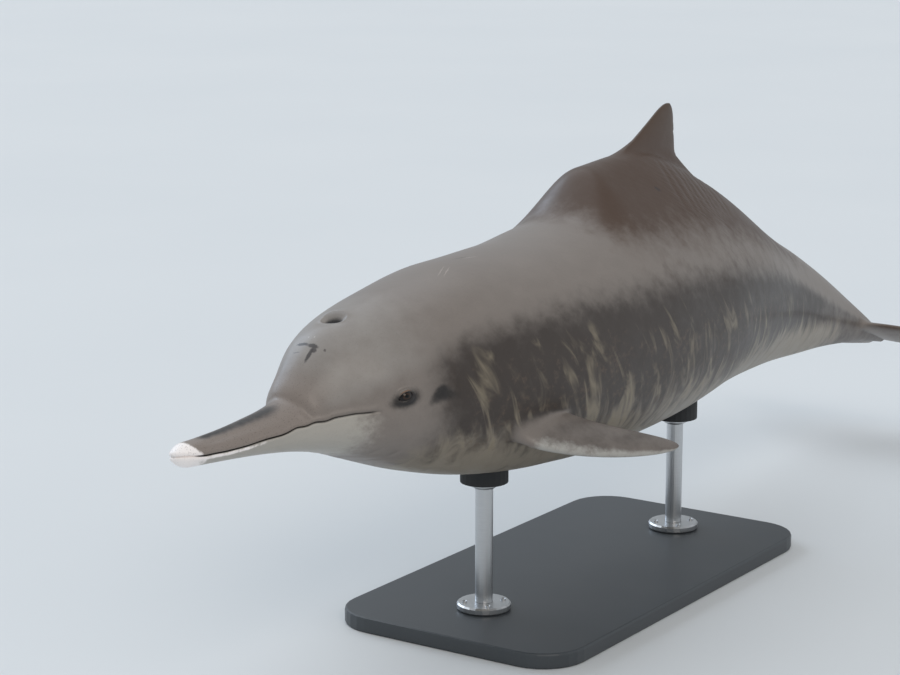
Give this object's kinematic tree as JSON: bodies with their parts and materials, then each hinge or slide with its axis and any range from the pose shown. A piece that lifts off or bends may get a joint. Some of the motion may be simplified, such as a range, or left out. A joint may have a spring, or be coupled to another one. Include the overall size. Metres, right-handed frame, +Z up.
{
  "type": "indian ocean humpback dolphin on a display stand",
  "caption": "Life-size humpback dolphin surfacing, with a long slender beak, a long hump under a small back fin and swept flukes, held over a flat base on two rods.",
  "frame": {"origin": "middle of the underside of the stand's base, on the floor", "axes": "+Z up; the animal lies along X and swims towards -X, with its left side towards -Y"},
  "size_m": [2.6195, 0.6866, 0.9197],
  "materials": {
    "grey_brown_skin": "smooth wet grey-brown skin with a satin sheen",
    "dark_fin_skin": "smooth wet dark brown skin with paler edges",
    "pale_jaw_skin": "smooth wet pale grey skin with mottling",
    "dark_wet_eye": "wet dark brown eye",
    "painted_base": "satin charcoal paint on a timber board",
    "satin_steel": "satin steel",
    "rubber_pad": "black rubber"
  },
  "bodies": {
    "root": {"beak_upper": "grey_brown_skin", "jaw_lower": "pale_jaw_skin", "head": "grey_brown_skin", "throat": "pale_jaw_skin", "neck": "grey_brown_skin", "chest": "grey_brown_skin", "trunk_hump": "grey_brown_skin", "trunk_rear": "grey_brown_skin", "tail_stock_front": "grey_brown_skin", "tail_stock_rear": "grey_brown_skin", "dorsal_fin": "dark_fin_skin", "flipper_left": "dark_fin_skin", "flipper_right": "dark_fin_skin", "fluke_left": "dark_fin_skin", "fluke_right": "dark_fin_skin", "eye_left": "dark_wet_eye", "eye_right": "dark_wet_eye", "stand_base": "painted_base", "stand_flange_front": "satin_steel", "stand_flange_rear": "satin_steel", "stand_rod_front": "satin_steel", "stand_rod_rear": "satin_steel", "stand_pad_front": "rubber_pad", "stand_pad_rear": "rubber_pad"}
  },
  "joints": []
}
